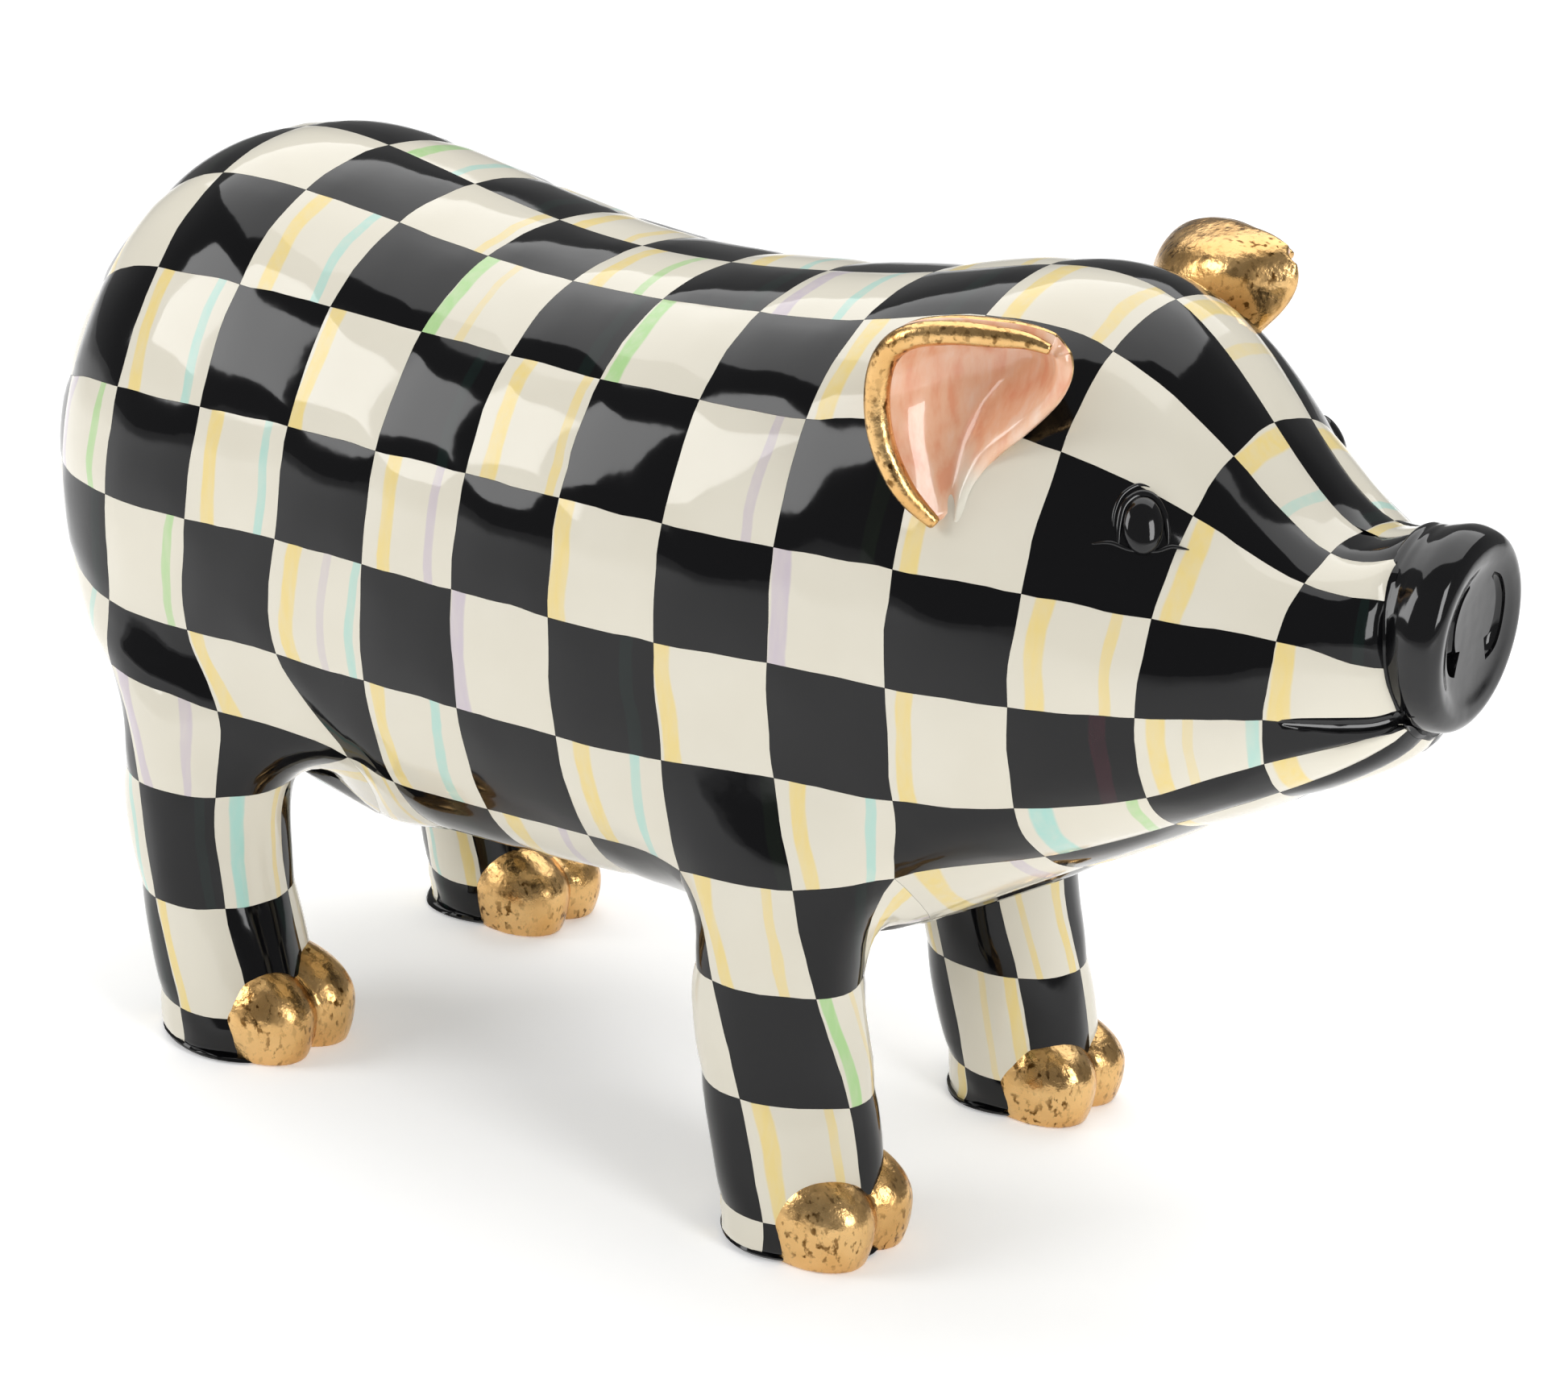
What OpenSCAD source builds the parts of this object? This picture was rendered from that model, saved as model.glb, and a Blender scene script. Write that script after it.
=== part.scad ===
// Standing pig coin bank: two cast half shells that meet on the spine, applied
// ears, snout, tail and hooves, a coin slot high on the left flank and a
// swivelling coin trap in the belly.  +X is forward, +Y the pig's left, +Z up,
// and the origin is on the ground below the middle of the pig.

/* [Overall] */
// Length from the rump to the front face of the snout
body_len = 303; // [240:1:380]
// Height of the crown of the head above the ground
crown_h = 183; // [150:1:230]
// Width of the barrel of the body
body_w = 110; // [88:1:140]
// Thickness of the cast wall
wall = 3.5; // [2.5:0.1:5]

/* [Legs] */
// Distance from the mid plane to the middle of a fore foot
fore_track = 39; // [30:0.5:46]
// Distance from the mid plane to the middle of a hind foot
hind_track = 42; // [34:0.5:50]
// Radius of a fore leg above the foot
fore_leg_r = 14.5; // [12:0.5:19]
// Radius of a hind leg above the foot
hind_leg_r = 16; // [13:0.5:20]
// Height of a hoof
hoof_h = 18.5; // [15:0.5:26]
// Width of one toe of a hoof
toe_w = 16.5; // [13:0.5:18]
// Length of one toe of a hoof
toe_len = 24; // [20:0.5:28]
// Radius of the peg that holds a hoof in its leg
peg_r = 4; // [3:0.5:5]

/* [Snout] */
// Radius of the snout disc
snout_r = 17; // [14:0.5:18.5]
// Thickness of the snout disc
snout_t = 9; // [6:0.5:12]
// Height of the middle of the snout disc above the ground
snout_z = 134; // [130:0.5:138]
// Radius of the nostrils
nostril_r = 2.6; // [1.8:0.1:3.5]
// Radius of the peg behind the snout that the halves clamp
snout_peg_r = 5; // [4:0.5:7]

/* [Ears and tail] */
// Length of an ear from its root to its tip
ear_len = 46; // [38:1:55]
// Thickness of the ear's rim
ear_t = 3; // [2.4:0.1:4]
// Radius of the cast stud that holds an ear
ear_stud_r = 2.5; // [2:0.1:3]
// Thickness of the tail
tail_d = 6.5; // [5:0.1:8]
// Radius of the tail's curl
tail_curl_r = 9; // [7:0.5:12]

/* [Coin slot] */
// Length of the coin slot
slot_len = 40; // [32:0.5:48]
// Width of the coin slot
slot_w = 5; // [4.6:0.1:6]
// Distance from the mid plane to the middle of the slot
slot_y = 36; // [34:0.5:40]

/* [Coin trap] */
// Radius of the opening in the trap ring
trap_r = 14.5; // [12:0.5:16]
// Width of the trap ring's wall
ring_w = 6; // [5.5:0.5:7]
// Depth of the flat recess in the belly that holds the trap
trap_recess = 6.5; // [5.5:0.5:8]
// Thickness of the flat land around the trap ring
land_t = 8; // [7.5:0.5:11]
// Thickness of the trap plate
plate_t = 2; // [1.5:0.1:3]
// Radius of the shoulder of the pivot screw
pivot_r = 1.7; // [1.4:0.1:2.2]

/* [Fasteners] */
// Radius of the two long screws that clamp the halves
clamp_r = 2.5; // [2:0.1:3]
// Radius of the bosses around the long screws
boss_r = 8.5; // [8:0.5:11]
// Width across the flats of the square nuts
nut_w = 8.5; // [8:0.5:10]
// Radius of the locating dowels
dowel_r = 2; // [1.5:0.1:2.5]
// Clearance around screws and dowels
bore_gap = 0.15; // [0.05:0.05:0.3]
// Gap between pieces that only sit next to each other
seat_gap = 0.1; // [0.05:0.05:0.3]

/* [Hidden] */
RIGHT = -1;
LEFT = 1;
BEYOND = 400;         // reaches past the whole pig
OVER = 1;             // how far a cut runs past the face it opens

IVORY = [0.93, 0.91, 0.85];
BLACK = [0.08, 0.08, 0.08];
GOLD = [0.80, 0.60, 0.30];
STEEL = [0.62, 0.62, 0.60];
BRASS = [0.78, 0.66, 0.36];

// The form is drawn at these sizes, and the driving sizes stretch it.
kx = body_len / 303;
ky = body_w / 110;
kz = crown_h / 183;

// Sections of the body: distance back from the front of the snout, heights of
// the top, of the widest line and of the bottom, half width, and how square the
// section is (2 is an ellipse).
SECTIONS = [
    [  9, 151, 131, 111, 18.5, 2],
    [ 16, 149, 128, 106, 24, 2],
    [ 24, 147.5, 123, 100, 31, 2],
    [ 33, 152.5, 121, 94, 37, 2],
    [ 42, 162.5, 120, 89, 41.5, 2],
    [ 53, 173.5, 119, 82, 45.5, 2],
    [ 64, 180.5, 118, 75, 47.5, 2.1],
    [ 75, 183, 117, 69, 48.5, 2.1],
    [ 87, 182, 116, 63, 49.5, 2.2],
    [110, 176, 114.5, 55, 51, 2.3],
    [133, 171.5, 113, 50.5, 53, 2.3],
    [156, 168.5, 112.5, 47, 54.5, 2.3],
    [178, 167.5, 112.5, 45, 55, 2.3],
    [200, 169, 112, 43.5, 55, 2.3],
    [222, 172.5, 111.5, 42.5, 54.5, 2.3],
    [244, 176, 110.5, 42, 54.5, 2.25],
    [262, 175.5, 110, 43, 54, 2.2],
    [276, 170, 110, 47, 51, 2.1],
    [288, 159, 110, 57, 43, 2],
    [297, 144, 110, 72, 30.5, 2],
    [301.5, 130, 110, 88, 18.5, 2],
    [303, 112, 110, 108, 2, 2]
];
SIDES = 28;           // points around a body section
STEPS = 2;            // stretches between two sections of the table
CHAMBER_SIDES = 20;
LEG_SIDES = 16;

tail_proud = tail_d;  // how far the tail stands behind the rump
front_x = (body_len + tail_proud) / 2;
function at_x(back) = front_x - back * kx;

// A section in millimetres: x, top, widest line, bottom, half width, squareness.
function scaled(s) = [at_x(s[0]), s[1] * kz, s[2] * kz, s[3] * kz, s[4] * ky, s[5]];
function blend(a, b, c, d, t) =
    0.5 * (2 * b + (c - a) * t + (2 * a - 5 * b + 4 * c - d) * t * t
           + (3 * b - a - 3 * c + d) * t * t * t);
function smooth(rows, steps) = let (n = len(rows)) [
    for (i = [0 : n - 2]) for (k = [0 : steps - 1])
        blend(rows[max(i - 1, 0)], rows[i], rows[i + 1], rows[min(i + 2, n - 1)], k / steps),
    rows[n - 1]
];
function reach(w, h, n, a) =
    pow(pow(abs(sin(a)) / w, n) + pow(abs(cos(a)) / h, n), -1 / n);
function on_section(s, a) = let (
    h = cos(a) >= 0 ? s[1] - s[2] : s[2] - s[3],
    r = reach(s[4], h, s[5], a)
) [s[0], r * sin(a), s[2] + r * cos(a)];

// The outer skin at a place along the body.
function column(k) = [for (s = SECTIONS) let (r = scaled(s)) [r[0], r[k]]];
function top_at(x) = lookup(x, column(1));
function widest_z(x) = lookup(x, column(2));
function bottom_at(x) = lookup(x, column(3));
function half_w(x) = lookup(x, column(4));
function skin_y(x, z) = let (
    mid = widest_z(x),
    h = z > mid ? top_at(x) - mid : mid - bottom_at(x),
    n = lookup(x, column(5)),
    q = min(abs(z - mid) / h, 0.98)
) half_w(x) * pow(1 - pow(q, n), 1 / n);

// One solid through a row of sections, each a ring of as many points.
module loft(rows) {
    n = len(rows[0]);
    m = len(rows);
    points = [for (r = rows) for (p = r) p];
    sides = [for (i = [0 : m - 2]) for (j = [0 : n - 1]) let (
        a = i * n + j, b = i * n + (j + 1) % n, c = a + n, d = b + n)
        each [[a, c, b], [b, c, d]]];
    first = [for (j = [1 : n - 2]) [0, j, j + 1]];
    last = [for (j = [1 : n - 2]) let (k = (m - 1) * n) [k, k + j + 1, k + j]];
    polyhedron(points, concat(sides, first, last), convexity = 10);
}
module on_side(side) { mirror([0, side == LEFT ? 0 : 1, 0]) children(); }
module along_y(x, z, y0, y1, r) {
    translate([x, min(y0, y1), z]) rotate([-90, 0, 0]) cylinder(h = abs(y1 - y0), r = r, $fn = 48);
}
module along_x(x0, x1, y, z, r) {
    translate([x0, y, z]) rotate([0, 90, 0]) cylinder(h = x1 - x0, r = r, $fn = 48);
}

// The outer form of one side of the body, flat on the mid plane.
module body_side(side) {
    rows = smooth([for (s = SECTIONS) scaled(s)], STEPS);
    half_ring = [for (j = [0 : SIDES / 2]) 180 * j / (SIDES / 2)];
    on_side(side)
        loft([for (s = rows) [for (a = half_ring) let (p = on_section(s, a))
            [p[0], (a == 0 || a == 180) ? 0 : p[1], p[2]]]]);
}

// The money chamber: the body's sections drawn in by the wall, from the throat
// to the rump, with a blunt end at each.
CHAMBER_FIRST = 4;
CHAMBER_LAST = len(SECTIONS) - 4;
function drawn_in(s) = [s[0], s[1] - wall, s[2], s[3] + wall, s[4] - wall, s[5]];
function shut(s, dx) = [s[0] + dx, s[2] + (s[1] - s[2]) * 0.6, s[2],
                        s[2] - (s[2] - s[3]) * 0.6, s[4] * 0.6, s[5]];
module chamber() {
    rows = [for (i = [CHAMBER_FIRST : CHAMBER_LAST]) drawn_in(scaled(SECTIONS[i]))];
    closed = concat([shut(rows[0], 5 * kx)], rows, [shut(rows[len(rows) - 1], -4 * kx)]);
    turn = 360 / CHAMBER_SIDES;
    loft([for (s = closed) [for (j = [0 : CHAMBER_SIDES - 1]) on_section(s, turn * (j + 0.5))]]);
}

// Legs: height, lean forward, lean inward, and the radii along and across the
// body in shares of the leg's own radius.  They flare into the body.
FORE_SHAPE = [
    [0, 4, 0, 0.98, 0.95], [3, 4, 0, 1.06, 1.04], [12, 2.5, 0, 1.04, 1.02],
    [22, 1, 0, 1.0, 1.0], [36, -1.5, 0.5, 1.05, 1.03], [50, -3, 2, 1.25, 1.12],
    [64, -4, 5, 1.5, 1.25], [78, -4, 10, 1.75, 1.32], [92, -4, 18, 1.8, 1.35]
];
HIND_SHAPE = [
    [0, 5, 0, 0.96, 0.95], [3, 5, 0, 1.04, 1.04], [12, 3, 0, 1.02, 1.02],
    [22, 0, 0.5, 1.05, 1.0], [36, -3, 1.5, 1.15, 1.05], [50, -5, 4, 1.32, 1.14],
    [64, -6, 8.5, 1.55, 1.22], [78, -6, 14, 1.8, 1.28], [92, -6, 22, 1.8, 1.3]
];
fore_x = at_x(108);
hind_x = at_x(243);
module leg(shape, x, y, r, side) {
    loft([for (s = shape) [for (j = [0 : LEG_SIDES - 1]) let (a = 360 * j / LEG_SIDES)
        [x + s[1] * kx + r * s[3] * cos(a),
         side * (y - s[2] * ky) + r * s[4] * sin(a),
         s[0] * kz]]]);
}
module fore_leg(side) { leg(FORE_SHAPE, fore_x, fore_track, fore_leg_r, side); }
module hind_leg(side) { leg(HIND_SHAPE, hind_x, hind_track, hind_leg_r, side); }

// Hooves: two toes in front of the leg, on a peg that a grub screw locks.
TOE_SPREAD = 0.47;    // distance from a hoof's middle to a toe's, in toe widths
PEG_Z = 9.5;
peg_back = 4;         // how far the peg runs behind the middle of the leg
grub_r = 2;
grub_h = 13;
function toe_x(x, r) = x + r - 2.5;
module toe(x, y) {
    translate([x, y, hoof_h * 0.42]) scale([toe_len / 2, toe_w / 2, hoof_h * 0.58])
        sphere(r = 1, $fn = 40);
}
module hoof_peg(x, y, r, gap) {
    along_x(x - peg_back - gap, toe_x(x, r) + toe_len * 0.36, y, PEG_Z, peg_r + gap);
}
module grub_hole(x, y) {
    translate([x, y, -OVER]) cylinder(h = grub_h + 2 * OVER, r = grub_r + bore_gap, $fn = 32);
}
module hoof(x, y, r, side) {
    difference() {
        union() {
            difference() {
                for (k = [-1, 1]) toe(toe_x(x, r), side * y + k * toe_w * TOE_SPREAD);
                children();
                translate([x - BEYOND / 2, -BEYOND / 2, -BEYOND]) cube(BEYOND);
            }
            hoof_peg(x, side * y, r, 0);
        }
        grub_hole(x, side * y);
    }
}
module grub_screw(x, y) {
    translate([x, y, 1]) difference() {
        cylinder(h = grub_h - 1, r = grub_r, $fn = 32);
        translate([-grub_r, -0.4, -OVER]) cube([2 * grub_r, 0.8, OVER + 1]);
    }
}

// Snout: a disc with two nostrils, on a headed peg that the halves clamp.
snout_back = at_x(0) - snout_t;
SNOUT_PEG = 14;
SNOUT_PEG_HEAD = 4;
peg_head_over = 2;
module snout_peg(gap) {
    along_x(snout_back - SNOUT_PEG, snout_back + OVER, 0, snout_z * kz, snout_peg_r + gap);
    along_x(snout_back - SNOUT_PEG - gap, snout_back - SNOUT_PEG + SNOUT_PEG_HEAD + gap, 0,
            snout_z * kz, snout_peg_r + peg_head_over + gap);
}
module snout_disc() {
    edge = 2.5;
    translate([snout_back, 0, snout_z * kz]) rotate([0, 90, 0]) rotate_extrude($fn = 64)
        union() {
            square([snout_r - edge, snout_t]);
            square([snout_r, snout_t - edge]);
            translate([snout_r - edge, snout_t - edge]) circle(r = edge, $fn = 32);
        }
}

// Tail: a tapering curl lying on the rump, on a headed peg that the halves clamp.
TAIL_Z = 128;
TAIL_TILT = 14;
TAIL_TURN = 310;
TAIL_PEG = 14;
TAIL_RINGS = 24;
TAIL_SIDES = 14;
TAIL_TAPER = 0.5;     // thickness at the tip, in shares of that at the root
tail_peg_r = tail_d / 2 - 0.6;
tail_x = -front_x + tail_proud - tail_d * 0.15;
module tail_at() { translate([tail_x, 0, TAIL_Z * kz]) rotate([0, TAIL_TILT, 0]) children(); }
module tail_curl() {
    loft([for (i = [0 : TAIL_RINGS]) let (t = i / TAIL_RINGS, a = TAIL_TURN * t,
        r = tail_d / 2 * (1 - (1 - TAIL_TAPER) * t))
        [for (j = [0 : TAIL_SIDES - 1]) let (b = 360 * j / TAIL_SIDES)
            [(tail_curl_r + r * sin(b)) * cos(a), (tail_curl_r + r * sin(b)) * sin(a), r * cos(b)]]]);
}
module tail_peg(gap) {
    root_z = TAIL_Z * kz - tail_curl_r * cos(TAIL_TILT);
    along_x(tail_x, tail_x + TAIL_PEG, 0, root_z, tail_peg_r + gap);
    along_x(tail_x + TAIL_PEG - 3 - gap, tail_x + TAIL_PEG + gap, 0, root_z, tail_peg_r + 2 + gap);
}

// Places of the long screws, below the widest line, and of the dowels, under
// the back.
front_screw_x = at_x(84);
rear_screw_x = at_x(262);
front_dowel_x = at_x(126);
rear_dowel_x = at_x(228);
screw_drop = 8;
function screw_z(x) = widest_z(x) - screw_drop * kz;
function dowel_z(x) = top_at(x) - wall - dowel_r - 2;
dowel_len = 16;
dowel_boss_r = dowel_r + 3.5;
head_r = clamp_r + 2.3;
head_t = 3.5;
head_sink = 6;
nut_t = 5;
screw_reach = 14;     // how far a long screw runs past its nut
function head_seat(x) = skin_y(x, screw_z(x)) - head_sink;

module screw_boss(x, side) {
    along_y(x, screw_z(x), 0, side * (skin_y(x, screw_z(x)) - wall / 2), boss_r);
}
module dowel_boss(x, side) {
    along_y(x, dowel_z(x), 0, side * (dowel_len / 2 + 4), dowel_boss_r);
}
module seam_bosses(side) {
    screw_boss(front_screw_x, side);
    screw_boss(rear_screw_x, side);
    intersection() {
        union() {
            dowel_boss(front_dowel_x, side);
            dowel_boss(rear_dowel_x, side);
        }
        body_side(side);
    }
}
module nut_space(x, gap) {
    w = nut_w + 2 * gap;
    translate([x - w / 2, -nut_t - gap, screw_z(x) - w / 2]) cube([w, nut_t + gap, w]);
}

// Coin trap: a ring clamped in the belly between the halves, and a plate that
// swivels below it on a shouldered screw.
trap_x = at_x(180);
ring_r = trap_r + ring_w;
rim_over = 1.5;
rim_t = 2;
flange_r = ring_r + 3;
flange_t = 1.6;
land_z = bottom_at(trap_x) + trap_recess;
land_r = flange_r + 2.5;
recess_r = flange_r + 6;
pivot_x = trap_x + trap_r + ring_w / 2;
washer_t = 0.8;
plate_gap = 0.15;
pivot_gap = 0.05;
plate_top = land_z - flange_t - plate_gap;
plate_r = trap_r + 2.5;
lug_r = pivot_r + 3.6;
grip_r = 4;
grip_h = 2.5;
screw_head_r = pivot_r + 2.4;
screw_head_t = 2.2;
washer_top = plate_top - plate_t - plate_gap / 3;
pivot_deep = land_t - 1;

// An upright slot with round ends, long enough for the plate to swing in.
module trap_oval(z, h, r) {
    swing_x = pivot_x + 4;
    for (x = [trap_x, swing_x]) translate([x, 0, z]) cylinder(h = h, r = r, $fn = 64);
    translate([trap_x, -r, z]) cube([swing_x - trap_x, 2 * r, h]);
}
module trap_land(side) {
    intersection() {
        trap_oval(land_z, land_t, land_r);
        translate([trap_x - BEYOND / 2, side == LEFT ? 0 : -BEYOND, 0]) cube(BEYOND);
    }
}
module trap_ring_space() {
    translate([trap_x, 0, land_z - OVER]) cylinder(h = land_t + 2 * OVER, r = ring_r + seat_gap, $fn = 64);
    translate([trap_x, 0, land_z + land_t]) cylinder(h = rim_t + 10, r = ring_r + rim_over + seat_gap, $fn = 64);
}

// Ears: cupped castings on the sides of the crown, each on a stud with a nut.
EAR_ROOT_Z = 156;
ear_x = at_x(83);
ear_z = EAR_ROOT_Z * kz;
ear_y = skin_y(ear_x, ear_z);
ear_k = ear_len / 46;
EAR_STUD_TURN = 118;
ear_nut_t = 4;
ear_nut_r = 5;
EAR_OUTER = [[-1, 3, -9, 4], [-10, 4, 8, 4], [2, 5, 23, 4], [16, -1, 23, 4], [4, -6, 4, 4]];
EAR_SCOOP = [[4, 13, -9, 4], [-5, 14, 7, 5], [4, 14, 22, 5], [19, 7, 22, 5], [12, 1, 6, 4]];
module at_ear_stud(from) {
    translate([ear_x, ear_y, ear_z]) rotate([EAR_STUD_TURN, 0, 0]) translate([0, 0, from]) children();
}
module ear_blob(places, grow) {
    translate([ear_x, ear_y, ear_z]) hull() for (p = places)
        translate([p[0], p[1], p[2]] * ear_k) sphere(r = (p[3] + grow) * ear_k, $fn = 20);
}
module ear(side) {
    on_side(side) {
        difference() {
            ear_blob(EAR_OUTER, 0);
            ear_blob(EAR_SCOOP, 3 - ear_t);
            at_ear_stud(wall * 0.7) translate([-BEYOND / 2, -BEYOND / 2, 0]) cube(BEYOND);
        }
        at_ear_stud(-1) cylinder(h = wall + ear_nut_t + 4, r = ear_stud_r, $fn = 32);
    }
}
module ear_nut(side) {
    on_side(side) at_ear_stud(wall + 1.2) difference() {
        cylinder(h = ear_nut_t, r = ear_nut_r, $fn = 6);
        translate([0, 0, -OVER]) cylinder(h = ear_nut_t + 2 * OVER, r = ear_stud_r + pivot_gap, $fn = 32);
    }
}

// Coin slot, cut straight down through the upper left flank.
slot_x = at_x(178);
module coin_slot() {
    z = widest_z(slot_x);
    translate([slot_x - slot_len / 2, slot_y * ky - slot_w / 2, z]) cube([slot_len, slot_w, top_at(slot_x)]);
}

// A cast half shell with its solid legs, bosses and land, less what fits in it.
module half(side) {
    difference() {
        union() {
            difference() {
                union() {
                    body_side(side);
                    fore_leg(side);
                    hind_leg(side);
                }
                chamber();
                trap_oval(0, land_z, recess_r);
            }
            trap_land(side);
            seam_bosses(side);
        }
        for (x = [front_screw_x, rear_screw_x]) {
            if (side == LEFT) {
                along_y(x, screw_z(x), -OVER, BEYOND / 4, clamp_r + bore_gap);
                along_y(x, screw_z(x), head_seat(x), BEYOND / 4, head_r + bore_gap);
            } else {
                along_y(x, screw_z(x), OVER, -nut_t - screw_reach - OVER, clamp_r + bore_gap);
                nut_space(x, seat_gap);
            }
        }
        for (x = [front_dowel_x, rear_dowel_x])
            along_y(x, dowel_z(x), -side * OVER, side * (dowel_len / 2 + 0.5), dowel_r + bore_gap);
        for (p = [[fore_x, fore_track, fore_leg_r], [hind_x, hind_track, hind_leg_r]]) {
            hoof_peg(p[0], side * p[1], p[2] + 3, bore_gap);
            grub_hole(p[0], side * p[1]);
        }
        at_ear_stud_bore(side);
        trap_ring_space();
        snout_peg(bore_gap);
        tail_peg(bore_gap);
        if (side == LEFT) coin_slot();
    }
}
module at_ear_stud_bore(side) {
    on_side(side) at_ear_stud(-OVER * 4) cylinder(h = wall + 10, r = ear_stud_r + bore_gap, $fn = 32);
}

module right_half() { color(IVORY) half(RIGHT); }
module left_half() { color(IVORY) half(LEFT); }
module snout() {
    color(BLACK) difference() {
        union() {
            snout_disc();
            snout_peg(0);
        }
        for (k = [-1, 1])
            translate([at_x(0) - 4, k * snout_r * 0.33, (snout_z + 1) * kz]) rotate([0, 90, 0])
                cylinder(h = 4 + OVER, r = nostril_r, $fn = 32);
    }
}
module tail() {
    color(IVORY) union() {
        tail_at() rotate([0, 90, 0]) tail_curl();
        tail_peg(0);
    }
}
module right_ear() { color(GOLD) ear(RIGHT); }
module left_ear() { color(GOLD) ear(LEFT); }
module right_ear_nut() { color(STEEL) ear_nut(RIGHT); }
module left_ear_nut() { color(STEEL) ear_nut(LEFT); }
module right_fore_hoof() { color(GOLD) hoof(fore_x, fore_track, fore_leg_r, RIGHT) fore_leg(RIGHT); }
module left_fore_hoof() { color(GOLD) hoof(fore_x, fore_track, fore_leg_r, LEFT) fore_leg(LEFT); }
module right_hind_hoof() { color(GOLD) hoof(hind_x, hind_track, hind_leg_r, RIGHT) hind_leg(RIGHT); }
module left_hind_hoof() { color(GOLD) hoof(hind_x, hind_track, hind_leg_r, LEFT) hind_leg(LEFT); }
module hoof_screws() {
    color(STEEL) for (side = [RIGHT, LEFT]) {
        grub_screw(fore_x, side * fore_track);
        grub_screw(hind_x, side * hind_track);
    }
}
module trap_ring() {
    color(BLACK) difference() {
        translate([trap_x, 0, land_z - flange_t]) {
            cylinder(h = flange_t, r = flange_r, $fn = 64);
            cylinder(h = flange_t + land_t + rim_t, r = ring_r, $fn = 64);
            translate([0, 0, flange_t + land_t + seat_gap]) cylinder(h = rim_t - seat_gap, r = ring_r + rim_over, $fn = 64);
        }
        translate([trap_x, 0, land_z - flange_t - OVER])
            cylinder(h = flange_t + land_t + rim_t + 2 * OVER, r = trap_r, $fn = 64);
        translate([pivot_x, 0, land_z - flange_t - OVER]) cylinder(h = pivot_deep + OVER, r = pivot_r, $fn = 32);
    }
}
module trap_plate() {
    color(BLACK) difference() {
        translate([trap_x, 0, plate_top - plate_t]) {
            cylinder(h = plate_t, r = plate_r, $fn = 64);
            translate([pivot_x - trap_x, 0, 0]) cylinder(h = plate_t, r = lug_r, $fn = 48);
            translate([-plate_r + grip_r + 1, 0, -grip_h]) cylinder(h = grip_h + plate_t, r = grip_r, $fn = 48);
        }
        translate([pivot_x, 0, plate_top - plate_t - OVER])
            cylinder(h = plate_t + 2 * OVER, r = pivot_r + pivot_gap, $fn = 32);
    }
}
module trap_washer() {
    color(BRASS) translate([pivot_x, 0, washer_top - washer_t]) difference() {
        cylinder(h = washer_t, r = screw_head_r + 0.8, $fn = 48);
        translate([0, 0, -OVER]) cylinder(h = washer_t + 2 * OVER, r = pivot_r + pivot_gap, $fn = 32);
    }
}
module trap_screw() {
    head_top = washer_top - washer_t;
    color(BRASS) translate([pivot_x, 0, 0]) difference() {
        union() {
            translate([0, 0, head_top]) cylinder(h = land_z - flange_t + pivot_deep - head_top - 0.5, r = pivot_r, $fn = 32);
            translate([0, 0, head_top - screw_head_t]) cylinder(h = screw_head_t, r = screw_head_r, $fn = 48);
        }
        translate([-BEYOND / 2, -0.5, head_top - screw_head_t - OVER]) cube([BEYOND, 1, OVER + 1]);
    }
}
module clamp_screw(x) {
    seat = head_seat(x);
    color(STEEL) difference() {
        union() {
            along_y(x, screw_z(x), -nut_t - screw_reach, seat + OVER, clamp_r);
            along_y(x, screw_z(x), seat, seat + head_t, head_r);
        }
        translate([x - BEYOND / 2, seat + head_t - 1.5, screw_z(x) - 0.6]) cube([BEYOND, 1.5 + OVER, 1.2]);
    }
}
module clamp_nut(x) {
    color(STEEL) difference() {
        translate([x - nut_w / 2, -nut_t, screw_z(x) - nut_w / 2]) cube([nut_w, nut_t, nut_w]);
        along_y(x, screw_z(x), -nut_t - OVER, OVER, clamp_r + pivot_gap);
    }
}
module dowel(x) { color(STEEL) along_y(x, dowel_z(x), -dowel_len / 2, dowel_len / 2, dowel_r); }
module front_screw() { clamp_screw(front_screw_x); }
module rear_screw() { clamp_screw(rear_screw_x); }
module front_nut() { clamp_nut(front_screw_x); }
module rear_nut() { clamp_nut(rear_screw_x); }
module front_dowel() { dowel(front_dowel_x); }
module rear_dowel() { dowel(rear_dowel_x); }

right_half();
left_half();
snout();
tail();
right_ear();
left_ear();
right_ear_nut();
left_ear_nut();
right_fore_hoof();
left_fore_hoof();
right_hind_hoof();
left_hind_hoof();
hoof_screws();
trap_ring();
trap_plate();
trap_screw();
trap_washer();
front_screw();
rear_screw();
front_nut();
rear_nut();
front_dowel();
rear_dowel();
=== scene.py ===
import math

import bmesh
import bpy
import numpy as np
from mathutils import Matrix, Vector, noise as field


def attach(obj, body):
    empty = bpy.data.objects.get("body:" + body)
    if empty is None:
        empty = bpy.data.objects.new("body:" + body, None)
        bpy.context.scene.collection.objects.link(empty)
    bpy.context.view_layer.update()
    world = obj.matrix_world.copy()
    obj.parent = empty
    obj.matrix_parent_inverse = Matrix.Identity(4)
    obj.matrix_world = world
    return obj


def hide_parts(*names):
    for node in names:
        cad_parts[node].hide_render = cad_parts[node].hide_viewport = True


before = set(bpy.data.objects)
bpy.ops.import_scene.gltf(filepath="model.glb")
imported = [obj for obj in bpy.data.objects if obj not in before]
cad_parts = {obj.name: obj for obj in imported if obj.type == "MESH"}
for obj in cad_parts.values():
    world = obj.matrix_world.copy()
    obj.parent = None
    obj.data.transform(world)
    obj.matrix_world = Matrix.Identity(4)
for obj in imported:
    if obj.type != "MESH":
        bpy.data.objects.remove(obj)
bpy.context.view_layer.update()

MM = 0.001
RIGHT, LEFT = -1, 1
FRONT_X = 154.75          # the snout's front face
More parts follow.
